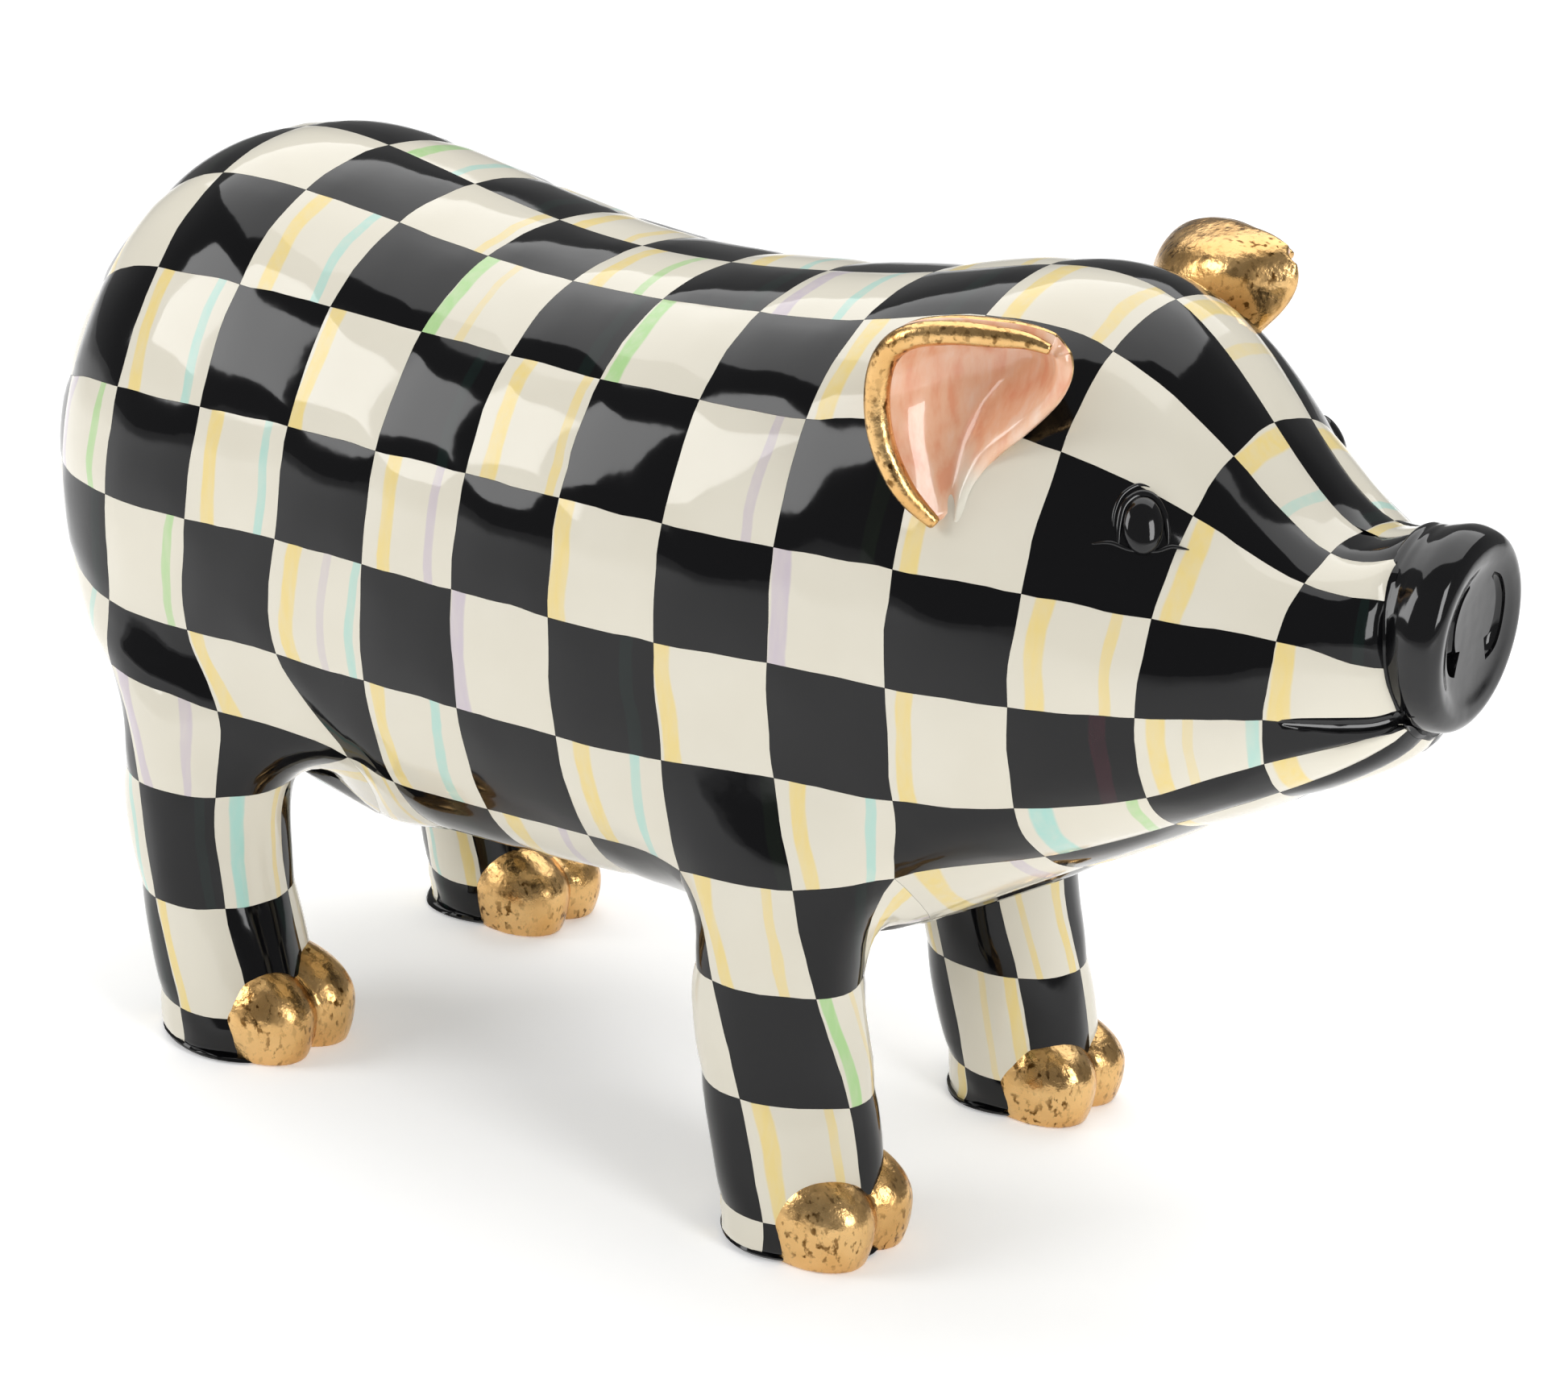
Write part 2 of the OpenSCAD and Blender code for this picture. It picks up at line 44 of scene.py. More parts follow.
SNOUT_Z = 134.0

# ---------------------------------------------------------------- the form
# Sections of the body: distance back from the snout's face, heights of the top,
# of the widest line and of the bottom, half width, and squareness.
SECTIONS = np.array([
    [3, 149, 131, 114, 15, 2], [9, 151, 131, 111, 18.5, 2], [16, 149, 128, 106, 24, 2.2],
    [24, 147.5, 123, 100, 31, 2.5], [33, 152.5, 121, 94, 37, 2.1], [42, 162.5, 120, 89, 41.5, 2],
    [53, 173.5, 119, 82, 45.5, 2], [64, 180.5, 118, 75, 47.5, 2.1], [75, 182.6, 117, 69, 48.5, 2.1],
    [87, 181.8, 116, 63, 49.5, 2.2], [110, 176, 114.5, 55, 51, 2.3], [133, 171.5, 113, 50.5, 53, 2.3],
    [156, 168.5, 112.5, 47, 54.5, 2.3], [178, 167.5, 112.5, 45, 55, 2.3],
    [200, 169, 112, 43.5, 55, 2.3], [222, 172.5, 111.5, 42.5, 54.5, 2.3],
    [244, 176, 110.5, 42, 54.5, 2.25], [262, 175.5, 110, 43, 54, 2.2],
    [276, 170, 110, 47, 51, 2.1], [288, 159, 110, 57, 43, 2], [297, 144, 110, 72, 30.5, 2],
    [301.5, 130, 110, 88, 18.5, 2], [303, 112, 110, 108, 2, 2]])
# Painted ring lines from the rump to the snout: number, distance back, and how
# far the line leans forward from the spine to the belly.
RING_LINES = [(-10, 298.5, -3), (-9, 286, -7), (-8, 266, -9), (-7, 244, -8), (-6, 221.5, -6.5),
              (-5, 199.5, -4), (-4, 178, 0), (-3, 156, 3), (-2, 133.5, 4.5), (-1, 110.5, 5),
              (0, 87, 4), (1, 63.5, 0), (2, 42, 0), (3, 23.5, 0), (4, 8.5, 7)]
FIRST_LINE = RING_LINES[0][0]
ROWS = 16                 # painted rows round the body, eight a side
# Angles of the row lines from the spine to the belly: on the barrel, and then
# from the shoulder forward.
BARREL_ROWS = [0, 22, 43.5, 67, 90, 114.5, 138.5, 159, 180]
FACE_ROWS = {0: [0, 19.5, 40, 66.5, 90.5, 116.5, 139, 160, 180],
             1: [0, 19.5, 40, 66.5, 90.5, 116.5, 139, 160, 180],
             2: [0, 19.5, 40, 66.5, 90.5, 116.5, 139, 160, 180],
             3: [0, 27, 46, 68, 94.5, 111, 131, 156, 180],
             4: [0, 30, 55, 92, 128, 133, 142, 161, 180]}


def spline(rows, at):
    """The table's other columns at a place on its first column, on a smooth curve."""
    k = int(np.clip(np.searchsorted(rows[:, 0], at) - 1, 0, len(rows) - 2))
    a, b = rows[max(k - 1, 0)], rows[k]
    c, d = rows[k + 1], rows[min(k + 2, len(rows) - 1)]
    t = float(np.clip((at - b[0]) / (c[0] - b[0]), 0, 1))
    return (0.5 * (2 * b + (c - a) * t + (2 * a - 5 * b + 4 * c - d) * t * t
                   + (3 * b - a - 3 * c + d) * t ** 3))[1:]


def on_body(back, angle, sink=0.0):
    """A point of the skin at a polar angle from the top, on the right side."""
    top, mid, low, half, square = spline(SECTIONS, back)
    s, c = abs(math.sin(math.radians(angle))), math.cos(math.radians(angle))
    tall = (top - mid) if c >= 0 else (mid - low)
    reach = ((s / half) ** square + (abs(c) / tall) ** square) ** (-1 / square) - sink
    return Vector((FRONT_X - back, -reach * s, mid + reach * c))


# Rows of a leg below the body: height, middle along and outward, radii along and
# across, and the turn of the painted lines.
FORE_RINGS = [(51, 42.0, 37.0, 16.2, 15.2, -12), (30, 45.0, 37.5, 17.2, 14.8, 8),
              (8, 50.0, 38.5, 15.6, 15.4, 17), (1.6, 50.5, 38.5, 15.2, 15.0, 17),
              (0, 50.5, 38.5, 12.5, 12.2, 17)]
HIND_RINGS = [(54, -94.5, 40.5, 18.6, 16.8, -6), (31, -91.5, 42.0, 16.0, 16.0, 0),
              (9, -85.5, 42.3, 16.6, 16.0, 4), (1.6, -84.5, 42.5, 16.2, 15.8, 5),
              (0, -84.5, 42.5, 13.5, 13.2, 5)]
LEG_LINES = {("fore", RIGHT): [-10, 68, 126, 180, 236, 292], ("fore", LEFT): [-38, 28, 90, 147, 205, 262],
             ("hind", RIGHT): [-10, 48, 108, 165, 222, 284], ("hind", LEFT): [-20, 40, 100, 158, 215, 275]}
LEFT_TURN = -0.35         # how much of the lines' turn the left legs show
# Where the leg's own lines meet the body: along, outward, height, for its three
# ring lines on row 6 and then on row 7.
FORE_ROOT = [(26.5, 49.5, 69), (52, 50.5, 73), (67, 40, 76), (24, 22, 50.5), (45, 21, 53), (63, 20, 60)]
HIND_ROOT = [(-112, 51.5, 74), (-82, 53, 72.5), (-56, 44.5, 67), (-112, 26, 56), (-88, 22, 49), (-66, 23, 45.5)]
LEGS = {"fore": (FORE_RINGS, FORE_ROOT, -2), "hind": (HIND_RINGS, HIND_ROOT, -8)}
BLACK_UV = (0.5, 1.5)     # a place inside a black square


def deselect():
    if bpy.context.object and bpy.context.object.mode != "OBJECT":
        bpy.ops.object.mode_set(mode="OBJECT")
    bpy.ops.object.select_all(action="DESELECT")


def take(obj):
    deselect()
    obj.select_set(True)
    bpy.context.view_layer.objects.active = obj
    return obj


def fix(obj, name=None):
    """Puts the object's place into its mesh."""
    take(obj)
    bpy.ops.object.transform_apply(location=True, rotation=True, scale=True)
    if name:
        obj.name = obj.data.name = name
    return obj


def modify(obj, kind, **settings):
    """Adds a modifier with its settings and applies it."""
    take(obj)
    m = obj.modifiers.new(kind.title(), kind)
    for key, value in settings.items():
        setattr(m, key, value)
    bpy.ops.object.modifier_apply(modifier=m.name)
    return obj


def edit_select(obj, test, kind="VERT"):
    """Enters edit mode with the elements selected that pass the test."""
    take(obj)
    bpy.ops.object.mode_set(mode="EDIT")
    bpy.ops.mesh.select_mode(type=kind)
    bpy.ops.mesh.select_all(action="DESELECT")
    mesh = bmesh.from_edit_mesh(obj.data)
    for e in {"VERT": mesh.verts, "EDGE": mesh.edges, "FACE": mesh.faces}[kind]:
        if test(e):
            e.select_set(True)
    mesh.select_flush_mode()
    bmesh.update_edit_mesh(obj.data)


def leave():
    bpy.ops.object.mode_set(mode="OBJECT")


def smooth(obj, angle=180):
    take(obj)
    if angle >= 180:
        bpy.ops.object.shade_smooth()
    else:
        bpy.ops.object.shade_smooth_by_angle(angle=math.radians(angle))
    return obj


def cage():
    """The control cage: each of its faces becomes one painted square."""
    lines = len(RING_LINES) - 1
    bpy.ops.mesh.primitive_grid_add(x_subdivisions=lines, y_subdivisions=ROWS, size=1)
    body = fix(bpy.context.object, "cage")
    mesh = bmesh.new()
    mesh.from_mesh(body.data)
    uv = mesh.loops.layers.uv.verify()
    for f in mesh.faces:
        for l in f.loops:
            k, j = (l.vert.co.x + 0.5) * lines, (l.vert.co.y + 0.5) * ROWS
            l[uv].uv = (k, j)
    goal = {}
    for v in mesh.verts:
        k, j = round((v.co.x + 0.5) * lines), round((v.co.y + 0.5) * ROWS)
        _, back, lean = RING_LINES[k]
        row = j if j <= 8 else 16 - j
        angle = FACE_ROWS.get(RING_LINES[k][0], BARREL_ROWS)[row]
        p = on_body(back + lean / 2 * math.cos(math.radians(angle)), angle)
        side = 1 if j <= 8 else -1
        v.co = (p.x, p.y * side if row not in (0, 8) else 0.0, p.z)
        goal[(k, j)] = v
    # the legs' roots
    for kind, (rings, root, line) in LEGS.items():
        for n, (x, y, z) in enumerate(root):
            k, row = line + n % 3 - FIRST_LINE, 6 + n // 3
            goal[(k, row)].co = (x, -y, z)
            goal[(k, 16 - row)].co = (x, y, z)
    bmesh.ops.remove_doubles(mesh, verts=mesh.verts, dist=0.01)
    # close the two ends on a pole each
    for end, pole in ((RING_LINES[0][1], (FRONT_X - 302.6, 0, 119)), (RING_LINES[-1][1], (FRONT_X - 9.5, 0, 133))):
        edges = [e for e in mesh.edges if e.is_boundary and abs(e.verts[0].co.x - (FRONT_X - end)) < 8]
        tip = mesh.verts.new(pole)
        for e in edges:
            l = e.link_loops[0]
            f = mesh.faces.new((l.link_loop_next.vert, l.vert, tip))
            for q in f.loops:
                q[uv].uv = BLACK_UV
    # the legs, extruded ring by ring from two faces each
    mesh.faces.ensure_lookup_table()
    for side in (RIGHT, LEFT):
        for kind, (rings, root, line) in LEGS.items():
            k0 = line - FIRST_LINE
            row0 = 6 if side == RIGHT else 9
            patch = [f for f in mesh.faces if len(f.verts) == 4 and f.calc_center_median().y * side > 0
                     and abs(sum(l[uv].uv.y for l in f.loops) / 4 - row0 - 0.5) < 0.1
                     and k0 < sum(l[uv].uv.x for l in f.loops) / 4 < k0 + 2]
            corner = {}
            for f in patch:
                for l in f.loops:
                    corner[(round(l[uv].uv.x) - k0, round(l[uv].uv.y) if side == RIGHT else 16 - round(l[uv].uv.y))] = l.vert
            ring = [corner[c] for c in ((0, 6), (1, 6), (2, 6), (2, 7), (1, 7), (0, 7))]
            for f in patch:
                mesh.faces.remove(f)
            mid_edge = [e for e in mesh.edges if not e.link_faces and set(e.verts) == {ring[1], ring[4]}]
            for e in mid_edge:
                mesh.edges.remove(e)
            for level, (z, x, y, rx, ry, turn) in enumerate(rings):
                new = []
                for a in LEG_LINES[(kind, side)]:
                    b = math.radians(a + turn * (1 if side == RIGHT else LEFT_TURN))
                    apart = 0.5 if side == LEFT and kind == "fore" else 0
                    new.append(mesh.verts.new((x + apart + rx * math.sin(b), side * (y + apart + ry * math.cos(b)), z)))
                j = 6 + level
                for n in range(6):
                    m = (n + 1) % 6
                    quad = [ring[n], ring[m], new[m], new[n]]
                    values = [(k0 + n, j), (k0 + n + 1, j), (k0 + n + 1, j + 1), (k0 + n, j + 1)]
                    if level == len(rings) - 1:
                        values = [BLACK_UV] * 4
                    if side == LEFT:
                        if level < len(rings) - 1:
                            values = [(p, 16 - q) for p, q in values]
                        quad, values = quad[::-1], values[::-1]
                    f = mesh.faces.new(quad[::-1])
                    for l, value in zip(f.loops, values[::-1]):
                        l[uv].uv = value
                ring = new
            for q in ((0, 1, 4, 5), (1, 2, 3, 4)):
                quad = [ring[n] for n in q]
                f = mesh.faces.new(quad if side == LEFT else quad[::-1])
                for l in f.loops:
                    l[uv].uv = BLACK_UV
    bmesh.ops.recalc_face_normals(mesh, faces=mesh.faces)
    interpolate(mesh)
    for v in mesh.verts:
        v.co *= MM
    mesh.to_mesh(body.data)
    mesh.free()
    return body


def interpolate(mesh, rounds=12):
    """Moves the cage so that its smooth surface passes through where its corners were."""
    mesh.verts.index_update()
    goal = np.array([v.co[:] for v in mesh.verts])
    at = goal.copy()
    rings = []
    for v in mesh.verts:
        near = [e.other_vert(v).index for e in v.link_edges]
        far = [[q.index for q in f.verts if q is not v and q.index not in near] for f in v.link_faces]
        rings.append((near, [q[0] for q in far if q]))
    for _ in range(rounds):
        limit = np.empty_like(at)
        for i, (near, far) in enumerate(rings):
            n = len(near)
            opposite = at[far].sum(axis=0) if far else 0
            opposite = opposite + (n - len(far)) * at[i]
            limit[i] = (n * n * at[i] + 4 * at[near].sum(axis=0) + opposite) / (n * (n + 5))
        at += 0.9 * (goal - limit)
    for v, p in zip(mesh.verts, at):
        v.co = p


def lofted(name, rings, closed=True):
    """A skin through a row of rings of points, in millimetres, shut at both ends."""
    rows, sides = len(rings) - 1, len(rings[0]) - (0 if closed else 1)
    deselect()
    bpy.ops.mesh.primitive_grid_add(x_subdivisions=rows, y_subdivisions=sides, size=1)
    obj = fix(bpy.context.object, name)
    mesh = bmesh.new()
    mesh.from_mesh(obj.data)
    uv = mesh.loops.layers.uv.verify()
    for v in mesh.verts:
        k, j = round((v.co.x + 0.5) * rows), round((v.co.y + 0.5) * sides)
        for l in v.link_loops:
            l[uv].uv = (k / rows, j / sides)
        v.co = Vector(rings[k][j % len(rings[k])]) * MM
    if closed:
        bmesh.ops.remove_doubles(mesh, verts=mesh.verts, dist=0.00001)
        bmesh.ops.holes_fill(mesh, edges=[e for e in mesh.edges if e.is_boundary], sides=0)
    bmesh.ops.recalc_face_normals(mesh, faces=mesh.faces)
    mesh.to_mesh(obj.data)
    mesh.free()
    return smooth(obj)


def through(points, count):
    """Places along a smooth curve through the points."""
    rows = np.array([[i, *p] for i, p in enumerate(points)], float)
    return [Vector(spline(rows, at)) for at in np.linspace(0, len(points) - 1, count)]


def rope(name, points, radii, sides=12, count=None, flat=1.0):
    """A round strand along a smooth curve, with its own thickness at each point."""
    line = through([(*p, r) for p, r in zip(points, radii)], count or 6 * len(points))
    at, size = [p.xyz for p in line], [p[3] for p in line]
    rings, across = [], None
    for i, p in enumerate(at):
        along = (at[min(i + 1, len(at) - 1)] - at[max(i - 1, 0)]).normalized()
        if across is None:
            across = along.orthogonal().normalized()
        across = (across - along * across.dot(along)).normalized()
        other = along.cross(across)
        rings.append([p + (across * math.cos(a) * flat + other * math.sin(a)) * size[i]
                      for a in np.linspace(0, 2 * math.pi, sides, endpoint=False)])
    return lofted(name, rings)


def turned(name, profile, centre, axis, sides=96):
    """A profile of radius and distance spun round an axis through the centre."""
    line = through([(r, d, 0) for r, d in profile], 5 * len(profile))
    across = axis.orthogonal().normalized()
    other = axis.cross(across)
    return lofted(name, [[Vector(centre) + axis * d + (across * math.cos(a) + other * math.sin(a)) * max(r, 0.05)
                          for a in np.linspace(0, 2 * math.pi, sides, endpoint=False)] for r, d, _ in line])


def rod(radius, start, end, sides=64):
    start, end = Vector(start) * MM, Vector(end) * MM
    deselect()
    bpy.ops.mesh.primitive_cylinder_add(
        vertices=sides, radius=radius * MM, depth=(end - start).length, location=(start + end) / 2,
        rotation=(end - start).to_track_quat("Z", "Y").to_euler())
    return fix(bpy.context.object, "rod")


def oval(x0, x1, y, radius, z0, z1):
    """An upright bar with round ends."""
    bar = rod(radius, (x0, y, z0), (x0, y, z1))
    edit_select(bar, lambda v: v.co.x > (x0 + 0.01) * MM)
    bpy.ops.transform.translate(value=((x1 - x0) * MM, 0, 0))
    leave()
    return bar


def carve(obj, tool, how="DIFFERENCE", slot=None):
    """Cuts one closed shape with another, and uses the other up."""
    if slot is not None:
        dress(tool, *obj.data.materials)
        for p in tool.data.polygons:
            p.material_index = slot
    modify(obj, "BOOLEAN", operation=how, solver="MANIFOLD", object=tool)
    bpy.data.objects.remove(tool)
    return obj


def mirrored(obj, name):
    """The left-hand copy of a right-hand piece, with its own mesh."""
    other = obj.copy()
    other.data = obj.data.copy()
    bpy.context.scene.collection.objects.link(other)
    other.name = other.data.name = name
    other.data.transform(Matrix.Diagonal((1, -1, 1, 1)))
    other.data.flip_normals()
    return other


def joined(name, *objs):
    take(objs[0])
    for o in objs[1:]:
        o.select_set(True)
    bpy.ops.object.join()
    made = bpy.context.object
    made.name = made.data.name = name
    return made


# ---------------------------------------------------------------- materials
def srgb(value):
    parts = [int(value[i:i + 2], 16) / 255 for i in (1, 3, 5)]
    return [p / 12.92 if p <= 0.04045 else ((p + 0.055) / 1.055) ** 2.4 for p in parts] + [1.0]


def add(tree, kind, *links, **settings):
    """Adds a node: settings by name, and sockets or values to its inputs in turn."""
    made = tree.nodes.new(kind)
    for key, value in settings.items():
        setattr(made, key, value)
    for socket, value in zip(made.inputs, links):
        if isinstance(value, bpy.types.NodeSocket):
            tree.links.new(value, socket)
        elif value is not None:
            socket.default_value = value
    return made


def finish(name, roughness, metallic=0.0, coat=0.0):
    m = bpy.data.materials.new(name)
    m.use_nodes = True
    p = m.node_tree.nodes["Principled BSDF"]
    p.inputs["Roughness"].default_value = roughness
    p.inputs["Metallic"].default_value = metallic
    p.inputs["Coat Weight"].default_value = coat
    p.inputs["Coat Roughness"].default_value = 0.04
    return m, m.node_tree, p


def calc(t, operation, *values):
    return add(t, "ShaderNodeMath", *values, operation=operation).outputs[0]


def ramp(t, value, stops, interpolation="LINEAR"):
    """Colours or greys along a value."""
    made = add(t, "ShaderNodeValToRGB", value)
    made.color_ramp.interpolation = interpolation
    for n, (at, colour) in enumerate(stops):
        e = made.color_ramp.elements[n] if n < 2 else made.color_ramp.elements.new(at)
        e.position = at
        e.color = srgb(colour)
    return made.outputs[0]


def mix(t, factor, a, b, blend="MIX"):
    made = add(t, "ShaderNodeMix", data_type="RGBA", blend_type=blend)
    for socket, value in zip((made.inputs[0], made.inputs[6], made.inputs[7]), (factor, a, b)):
        if isinstance(value, bpy.types.NodeSocket):
            t.links.new(value, socket)
        elif isinstance(value, str):
            socket.default_value = srgb(value)
        else:
            socket.default_value = value
    return made.outputs[2]


def noise(t, millimetres, detail=2.0, stretch=(1, 1, 1), where=None):
    """Soft noise whose blotches are about so many millimetres across."""
    at = where or add(t, "ShaderNodeTexCoord").outputs["Object"]
    place = add(t, "ShaderNodeMapping", at)
    place.inputs["Scale"].default_value = stretch
    made = add(t, "ShaderNodeTexNoise")
    t.links.new(place.outputs[0], made.inputs["Vector"])
    made.inputs["Scale"].default_value = 1 / (millimetres * MM)
    made.inputs["Detail"].default_value = detail
    return made.outputs[0]


def bumps(t, p, *layers):
    """Relief in layers of (height, depth in millimetres)."""
    normal = None
    for height, depth in layers:
        b = add(t, "ShaderNodeBump")
        b.inputs["Distance"].default_value = depth * MM
        t.links.new(height, b.inputs["Height"])
        if normal is not None:
            t.links.new(normal, b.inputs["Normal"])
        normal = b.outputs[0]
    t.links.new(normal, p.inputs["Normal"])


# Hand-painted enamel fired on iron: squares of warm ivory and black, an ivory
# square with one to three brush strokes along its sides, all under clear glaze.
def painted_squares():
    m, t, p = finish("hand_painted_enamel", 0.07)
    p.inputs["Specular IOR Level"].default_value = 0.36
    uv = add(t, "ShaderNodeSeparateXYZ", add(t, "ShaderNodeTexCoord").outputs["UV"]).outputs
    row, column = calc(t, "FLOOR", uv[1]), calc(t, "FLOOR", uv[0])
    black = calc(t, "FLOORED_MODULO", calc(t, "ADD", row, column), 2.0)
    cell = add(t, "ShaderNodeCombineXYZ", column, row, 0.37).outputs[0]
    chance = add(t, "ShaderNodeTexWhiteNoise", cell, noise_dimensions="3D")
    first = add(t, "ShaderNodeSeparateColor", chance.outputs["Color"]).outputs
    cell_2 = add(t, "ShaderNodeCombineXYZ", column, row, 9.71).outputs[0]
    second = add(t, "ShaderNodeSeparateColor",
                 add(t, "ShaderNodeTexWhiteNoise", cell_2, noise_dimensions="3D").outputs["Color"]).outputs
    across = calc(t, "SUBTRACT", uv[0], column)
    wander = calc(t, "MULTIPLY", calc(t, "SUBTRACT", noise(t, 26, 2), 0.5), 0.2)
    streak = noise(t, 2.2, 3, (1, 1, 0.22))
    ivory = mix(t, noise(t, 18, 2), "#DDD7C6", "#E6E1D2")

    def stroke(centre, half_width, colours, chosen, strength):
        away = calc(t, "ABSOLUTE", calc(t, "SUBTRACT", calc(t, "ADD", across, wander), centre))
        edge = add(t, "ShaderNodeMapRange", away, half_width, half_width * 0.72, 0.0, 1.0,
                   interpolation_type="SMOOTHSTEP").outputs[0]
        body = add(t, "ShaderNodeMapRange", streak, 0.3, 0.62, strength * 0.72, strength).outputs[0]
        return calc(t, "MULTIPLY", edge, body), ramp(t, chosen, colours, "CONSTANT")

    yellow, aqua, lilac, green = "#EED583", "#A3D9CF", "#C9BDC9", "#A4D488"
    side_1 = add(t, "ShaderNodeMapRange", first[0], 0, 1, 0.07, 0.26).outputs[0]
    side_2 = add(t, "ShaderNodeMapRange", first[1], 0, 1, 0.70, 0.93).outputs[0]
    middle = add(t, "ShaderNodeMapRange", first[2], 0, 1, 0.4, 0.6).outputs[0]
    base = ivory
    for centre, width, colours, chosen, chance_of, strength in (
            (side_1, 0.09, [(0, yellow), (0.80, lilac), (0.90, green), (0.94, aqua)], second[0], (second[2], 0.12), 0.85),
            (side_2, 0.052, [(0, aqua), (0.42, yellow), (0.8, lilac), (0.96, green)], second[1], (first[0], 0.45), 0.7),
            (middle, 0.05, [(0, yellow), (0.55, aqua), (0.8, lilac)], second[2], (first[1], 0.86), 0.5)):
        mask, colour = stroke(centre, width, colours, chosen, strength)
        if chance_of:
            mask = calc(t, "MULTIPLY", mask, calc(t, "GREATER_THAN", *chance_of))
        base = mix(t, mask, base, colour)
    dark_mask, dark = stroke(side_2, 0.07, [(0, "#0E211D"), (0.6, "#131B12"), (0.88, "#3A0C1C")], second[0], 0.55)
    dark_mask = calc(t, "MULTIPLY", dark_mask, calc(t, "GREATER_THAN", first[2], 0.6))
    night = mix(t, dark_mask, "#08080A", dark)
    t.links.new(mix(t, black, base, night), p.inputs["Base Color"])
    bumps(t, p, (noise(t, 15, 1), 0.14), (noise(t, 3.2, 1), 0.012))
    return m


# The scored line round each square, filled with matt black.
def scored_line():
    m, t, p = finish("scored_black_line", 0.42, coat=0.4)
    t.links.new(mix(t, noise(t, 1.2, 3), "#0B0A0A", "#1E1B17"), p.inputs["Base Color"])
    bumps(t, p, (noise(t, 1.6, 3), 0.05))
    return m


# Black enamel brushed thick and glazed: near-black with broad soft ripples.
def black_enamel(name="brushed_black_enamel"):
    m, t, p = finish(name, 0.08)
    t.links.new(mix(t, noise(t, 9, 3, (1, 1, 0.4)), "#070708", "#121214"), p.inputs["Base Color"])
    bumps(t, p, (noise(t, 10, 2), 0.25), (noise(t, 2.4, 1), 0.015))
    return m


# Loose metal leaf laid over size: bright gold that wears to brown in crumbs and
# creases, and mirror-like where it lies flat.
def gold_leaf():
    m, t, p = finish("rubbed_gold_leaf", 0.26, metallic=1.0)
    broad = mix(t, noise(t, 9, 4), "#C8934E", "#F3CE93")
    crumb = ramp(t, noise(t, 1.5, 8, (1, 1.7, 0.8)), [(0.0, "#FFFFFF"), (0.37, "#FFFFFF"), (0.46, "#000000")])
    patch = ramp(t, noise(t, 7, 3), [(0.42, "#000000"), (0.60, "#FFFFFF")])
    worn = calc(t, "MULTIPLY", crumb, calc(t, "ADD", 0.25, calc(t, "MULTIPLY", patch, 0.75)))
    t.links.new(mix(t, worn, broad, "#6B4A22"), p.inputs["Base Color"])
    t.links.new(add(t, "ShaderNodeMapRange", noise(t, 5, 5), 0.3, 0.7, 0.16, 0.36).outputs[0],
                p.inputs["Roughness"])
    bumps(t, p, (noise(t, 6, 4), 0.5), (noise(t, 1.6, 7), 0.14))
    return m


# Peach paint dragged with a stiff brush inside the ear, glazed; its darker drag marks are in the paint, and its pale
# streaks along the drag are painted highlights.
def ear_pink():
    m, t, p = finish("brushed_peach_enamel_painted_highlights", 0.22, coat=0.8)
    drag_and_highlight_streaks = noise(t, 2.6, 5, (0.9, 0.9, 0.25))
    broad = noise(t, 13, 3)
    base = mix(t, broad, "#F0B48E", "#EFC7A8")
    base = mix(t, ramp(t, drag_and_highlight_streaks, [(0.48, "#000000"), (0.66, "#D0D0D0")]), base, "#E4936C")
    # pale streaks along the brush-drag noise: painted highlights
    base = mix(t, ramp(t, drag_and_highlight_streaks, [(0.28, "#C0C0C0"), (0.46, "#000000")]), base, "#F6DDCB")
    uv = add(t, "ShaderNodeSeparateXYZ", add(t, "ShaderNodeTexCoord").outputs["UV"]).outputs
    low = add(t, "ShaderNodeMapRange", uv[0], 0.42, 0.16, 0.0, 1.0, interpolation_type="SMOOTHSTEP").outputs[0]
    front = add(t, "ShaderNodeMapRange", uv[1], 0.66, 0.97, 0.0, 1.0, interpolation_type="SMOOTHSTEP").outputs[0]
    t.links.new(mix(t, calc(t, "MULTIPLY", low, front), base, "#EBE6D6"), p.inputs["Base Color"])
    bumps(t, p, (noise(t, 8, 2), 0.3), (drag_and_highlight_streaks, 0.05))
    return m


# Turned and tumbled steel: grey with fine rubbed marks.
def bright_steel():
    m, t, p = finish("zinc_plated_steel", 0.34, metallic=1.0)
    t.links.new(mix(t, noise(t, 3, 5), "#8E8D88", "#B9B8B2"), p.inputs["Base Color"])
    t.links.new(add(t, "ShaderNodeMapRange", noise(t, 1.5, 4), 0.3, 0.7, 0.26, 0.5).outputs[0], p.inputs["Roughness"])
    bumps(t, p, (noise(t, 0.8, 3, (1, 1, 4)), 0.02))
    return m


# Turned brass, tarnished in the low spots.
def turned_brass():
    m, t, p = finish("turned_brass", 0.3, metallic=1.0)
    t.links.new(mix(t, noise(t, 3, 5), "#8F7434", "#D3B463"), p.inputs["Base Color"])
    t.links.new(add(t, "ShaderNodeMapRange", noise(t, 1.2, 4), 0.3, 0.7, 0.22, 0.45).outputs[0], p.inputs["Roughness"])
    bumps(t, p, (noise(t, 0.7, 3), 0.02))
    return m


# The bare inside of the casting: sand-cast iron under thin grey primer.
def cast_inside():
    m, t, p = finish("primed_sand_cast_iron", 0.75)
    t.links.new(mix(t, noise(t, 4, 6), "#3B3A38", "#5A5854"), p.inputs["Base Color"])
    bumps(t, p, (noise(t, 1.4, 6), 0.25), (noise(t, 6, 2), 0.3))
    return m


def floor_paper():
    m, t, p = finish("matt_white_paper", 0.95)
    t.links.new(mix(t, noise(t, 60, 2), "#FAFAFA", "#FCFCFC"), p.inputs["Base Color"])
    p.inputs["Emission Color"].default_value = (1, 1, 1, 1)
    p.inputs["Emission Strength"].default_value = 0.3
    return m


